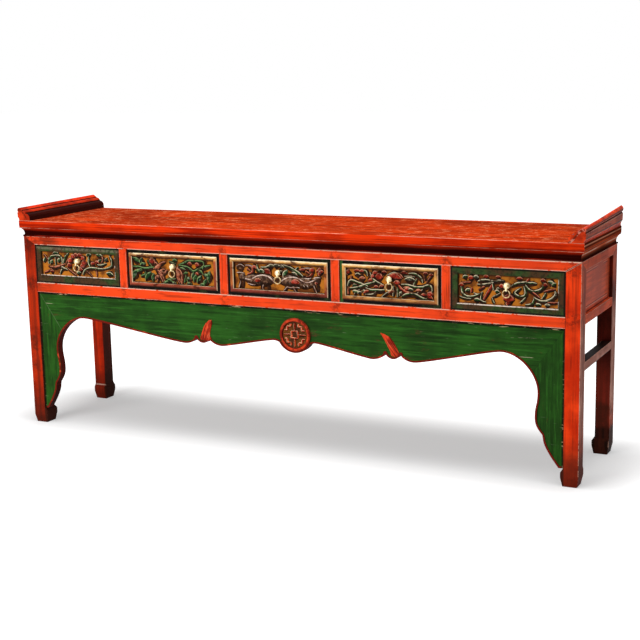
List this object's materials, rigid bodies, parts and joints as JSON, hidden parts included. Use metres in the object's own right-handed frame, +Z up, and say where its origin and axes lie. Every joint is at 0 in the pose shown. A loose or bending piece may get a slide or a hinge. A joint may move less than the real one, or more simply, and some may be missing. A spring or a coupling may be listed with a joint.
{
  "type": "altar table",
  "caption": "Long lacquered wooden altar table with upturned moulded ends, a row of carved drawers with ring pulls, a shaped carved apron and hoof feet.",
  "frame": {"origin": "on the floor under the middle of the table", "axes": "+X along the table's length to the viewer's right, +Y from front to back, +Z up"},
  "size_m": [2.1589, 0.472, 0.848],
  "materials": {
    "red_lacquer": "worn satin lacquer",
    "top_lacquer": "worn satin lacquer",
    "dark_lacquer": "worn satin lacquer",
    "green_lacquer": "worn satin lacquer",
    "gold_lacquer": "worn carved lacquer",
    "bare_wood": "old bare wood",
    "pull_brass": "dull, aged"
  },
  "bodies": {
    "table": {"leg_front_left": "red_lacquer", "leg_front_right": "red_lacquer", "leg_back_left": "red_lacquer", "leg_back_right": "red_lacquer", "front_top_rail": "red_lacquer", "back_top_rail": "red_lacquer", "front_bottom_rail": "red_lacquer", "back_bottom_rail": "red_lacquer", "end_top_rail_left": "red_lacquer", "end_bottom_rail_left": "red_lacquer", "end_stretcher_left": "red_lacquer", "end_panel_left": "red_lacquer", "end_top_rail_right": "red_lacquer", "end_bottom_rail_right": "red_lacquer", "end_stretcher_right": "red_lacquer", "end_panel_right": "red_lacquer", "drawer_post_1": "red_lacquer", "drawer_post_2": "red_lacquer", "drawer_post_3": "red_lacquer", "drawer_post_4": "red_lacquer", "back_panel": "bare_wood", "drawer_runners": "bare_wood", "drawer_guides": "bare_wood", "top_battens": "bare_wood", "waist_front": "dark_lacquer", "waist_back": "dark_lacquer", "waist_left": "dark_lacquer", "waist_right": "dark_lacquer", "top_plank_front": "top_lacquer", "top_plank_middle": "top_lacquer", "top_plank_back": "top_lacquer", "end_board_left": "top_lacquer", "end_board_right": "top_lacquer", "flange_left": "top_lacquer", "flange_right": "top_lacquer", "apron_board": "green_lacquer", "apron_bracket_left": "green_lacquer", "apron_bracket_right": "green_lacquer", "roundel": "gold_lacquer"},
    "drawer_1": {"drawer_1_front": "gold_lacquer", "drawer_1_box": "bare_wood", "drawer_1_pull": "pull_brass"},
    "ring_1": {"drawer_1_ring": "pull_brass"},
    "drawer_2": {"drawer_2_front": "gold_lacquer", "drawer_2_box": "bare_wood", "drawer_2_pull": "pull_brass"},
    "ring_2": {"drawer_2_ring": "pull_brass"},
    "drawer_3": {"drawer_3_front": "gold_lacquer", "drawer_3_box": "bare_wood", "drawer_3_pull": "pull_brass"},
    "ring_3": {"drawer_3_ring": "pull_brass"},
    "drawer_4": {"drawer_4_front": "gold_lacquer", "drawer_4_box": "bare_wood", "drawer_4_pull": "pull_brass"},
    "ring_4": {"drawer_4_ring": "pull_brass"},
    "drawer_5": {"drawer_5_front": "gold_lacquer", "drawer_5_box": "bare_wood", "drawer_5_pull": "pull_brass"},
    "ring_5": {"drawer_5_ring": "pull_brass"}
  },
  "joints": [
    {"name": "drawer_1_slide", "type": "slide", "parent": "table", "child": "drawer_1", "axis": [0, -1, 0], "range_m": [0, 0.3]},
    {"name": "ring_1_swing", "type": "hinge", "parent": "drawer_1", "child": "ring_1", "pos_m": [-0.82553, -0.23025, 0.622], "axis": [-1, 0, 0], "range_deg": [-10, 90]},
    {"name": "drawer_2_slide", "type": "slide", "parent": "table", "child": "drawer_2", "axis": [0, -1, 0], "range_m": [0, 0.3]},
    {"name": "ring_2_swing", "type": "hinge", "parent": "drawer_2", "child": "ring_2", "pos_m": [-0.41057, -0.23025, 0.622], "axis": [-1, 0, 0], "range_deg": [-10, 90]},
    {"name": "drawer_3_slide", "type": "slide", "parent": "table", "child": "drawer_3", "axis": [0, -1, 0], "range_m": [0, 0.3]},
    {"name": "ring_3_swing", "type": "hinge", "parent": "drawer_3", "child": "ring_3", "pos_m": [0.0149, -0.23025, 0.622], "axis": [-1, 0, 0], "range_deg": [-10, 90]},
    {"name": "drawer_4_slide", "type": "slide", "parent": "table", "child": "drawer_4", "axis": [0, -1, 0], "range_m": [0, 0.3]},
    {"name": "ring_4_swing", "type": "hinge", "parent": "drawer_4", "child": "ring_4", "pos_m": [0.4269, -0.23025, 0.622], "axis": [-1, 0, 0], "range_deg": [-10, 90]},
    {"name": "drawer_5_slide", "type": "slide", "parent": "table", "child": "drawer_5", "axis": [0, -1, 0], "range_m": [0, 0.3]},
    {"name": "ring_5_swing", "type": "hinge", "parent": "drawer_5", "child": "ring_5", "pos_m": [0.82696, -0.23025, 0.622], "axis": [-1, 0, 0], "range_deg": [-10, 90]}
  ]
}
